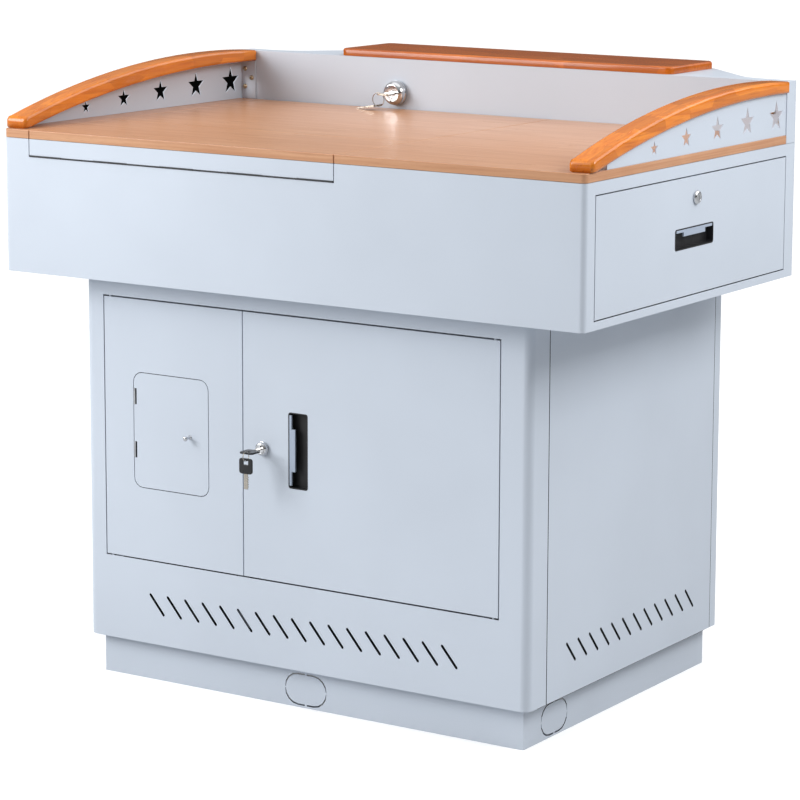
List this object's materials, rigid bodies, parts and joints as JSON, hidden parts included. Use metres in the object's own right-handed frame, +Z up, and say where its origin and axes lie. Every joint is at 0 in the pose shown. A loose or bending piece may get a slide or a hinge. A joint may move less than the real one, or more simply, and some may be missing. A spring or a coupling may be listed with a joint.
{
  "type": "lectern stand",
  "caption": "Steel lectern desk with a wooden top, arched side rails, a flip-out keyboard flap, a tilting monitor lid, a side drawer and a two-door cabinet.",
  "frame": {"origin": "on the floor, under the middle of the desk's outline", "axes": "+X to the speaker's right, +Y away from the speaker towards the audience, +Z up"},
  "size_m": [1.112, 0.8228, 1.013],
  "materials": {
    "painted_steel": "semi-gloss blue-grey powder coat, fine orange peel",
    "beech_board": "semi-gloss beech board",
    "varnished_wood": "high-gloss orange-brown varnish",
    "chrome": "polished",
    "zinc_steel": "zinc plated, satin",
    "black_sheet": "matt black coat",
    "grey_lip": "grey-blue satin",
    "black_key": "moulded black key head",
    "key_brass": "nickelled brass, worn"
  },
  "bodies": {
    "root": {"plinth": "painted_steel", "cabinet_front_frame": "painted_steel", "cabinet_side_right": "painted_steel", "cabinet_side_left": "painted_steel", "cabinet_rear_panel": "painted_steel", "cabinet_floor": "painted_steel", "cabinet_divider": "painted_steel", "rack_rail_right": "zinc_steel", "rack_rail_left": "zinc_steel", "box_shell": "painted_steel", "box_deck": "painted_steel", "rear_bay_shell": "painted_steel", "rear_hood": "painted_steel", "cap_board": "varnished_wood", "bay_divider": "painted_steel", "table_cross_rail": "painted_steel", "tabletop_right": "beech_board", "tabletop_left": "beech_board", "flap_hinge_leaf": "black_sheet", "lid_pivot_left": "zinc_steel", "lid_pivot_right": "zinc_steel", "rear_lock_body": "chrome", "armrest_right": "varnished_wood", "cheek_right": "painted_steel", "cheek_bolts_right": "zinc_steel", "armrest_left": "varnished_wood", "cheek_left": "painted_steel", "cheek_bolts_left": "zinc_steel", "slide_outer_front": "zinc_steel", "slide_outer_rear": "zinc_steel"},
    "left_door": {"left_door": "painted_steel", "hatch_hinge": "zinc_steel"},
    "hatch": {"hatch_door": "painted_steel", "hatch_knob": "chrome"},
    "right_door": {"right_door": "painted_steel", "door_pull_cup": "black_sheet", "door_pull_lip": "grey_lip", "door_lock_body": "chrome"},
    "door_lock": {"door_lock_plug": "chrome", "door_key": "black_key"},
    "door_key_ring": {"door_key_ring": "key_brass"},
    "door_spare_key": {"door_spare_key": "black_key"},
    "flap": {"keyboard_flap": "beech_board", "flap_front_strip": "painted_steel", "keyboard_tray": "black_sheet"},
    "lid": {"monitor_lid": "beech_board", "lid_frame": "zinc_steel"},
    "rear_lock": {"rear_lock_plug": "chrome", "rear_key": "zinc_steel"},
    "rear_key_ring": {"rear_key_ring": "key_brass"},
    "drawer": {"drawer_front": "painted_steel", "drawer_pull_cup": "black_sheet", "drawer_pull_lip": "grey_lip", "drawer_tray": "painted_steel", "drawer_lock_body": "chrome", "slide_inner_front": "zinc_steel", "slide_inner_rear": "zinc_steel"},
    "drawer_lock": {"drawer_lock_plug": "chrome"},
    "slide_middle": {"slide_middle_front": "zinc_steel", "slide_middle_rear": "zinc_steel"}
  },
  "joints": [
    {"name": "drawer_slide", "type": "slide", "parent": "root", "child": "drawer", "axis": [1, 0, 0], "range_m": [0, 0.36]},
    {"name": "slide_middle_run", "type": "slide", "parent": "root", "child": "slide_middle", "axis": [1, 0, 0], "range_m": [0, 0.18]},
    {"name": "drawer_lock_turn", "type": "hinge", "parent": "drawer", "child": "drawer_lock", "pos_m": [0.55, -0.06465, 0.8435], "axis": [1, 0, 0], "range_deg": [0, 90]},
    {"name": "left_door_hinge", "type": "hinge", "parent": "root", "child": "left_door", "pos_m": [-0.3785, -0.35115, 0.209], "axis": [0, 0, -1], "range_deg": [0, 110]},
    {"name": "hatch_hinge_turn", "type": "hinge", "parent": "left_door", "child": "hatch", "pos_m": [-0.3275, -0.35495, 0.33], "axis": [0, 0, -1], "range_deg": [0, 90]},
    {"name": "right_door_hinge", "type": "hinge", "parent": "root", "child": "right_door", "pos_m": [0.3635, -0.35115, 0.209], "axis": [0, 0, 1], "range_deg": [0, 110]},
    {"name": "door_lock_turn", "type": "hinge", "parent": "right_door", "child": "door_lock", "pos_m": [-0.069, -0.35565, 0.424], "axis": [0, 1, 0], "range_deg": [0, 90]},
    {"name": "door_ring_swing", "type": "hinge", "parent": "door_lock", "child": "door_key_ring", "pos_m": [-0.069, -0.40185, 0.4188], "axis": [1, 0, 0], "range_deg": [-15, 20]},
    {"name": "door_spare_key_swing", "type": "hinge", "parent": "door_key_ring", "child": "door_spare_key", "pos_m": [-0.069, -0.40185, 0.4108], "axis": [0, 1, 0], "range_deg": [-30, 30]},
    {"name": "monitor_lid_pivot", "type": "hinge", "parent": "root", "child": "lid", "pos_m": [-0.196, 0.17185, 0.8947], "axis": [-1, 0, 0], "range_deg": [0, 70]},
    {"name": "keyboard_flap_hinge", "type": "hinge", "parent": "root", "child": "flap", "pos_m": [-0.196, -0.41015, 0.8702], "axis": [1, 0, 0], "range_deg": [0, 180]},
    {"name": "rear_lock_turn", "type": "hinge", "parent": "root", "child": "rear_lock", "pos_m": [-0.21, 0.24635, 0.9405], "axis": [0, 1, 0], "range_deg": [0, 90]},
    {"name": "rear_ring_swing", "type": "hinge", "parent": "rear_lock", "child": "rear_key_ring", "pos_m": [-0.22075, 0.20205, 0.9405], "axis": [-1, 0, 0], "range_deg": [0, 25]}
  ],
  "couplings": [
    {"joint": "slide_middle_run", "follows": "drawer_slide", "ratio": 0.5}
  ]
}
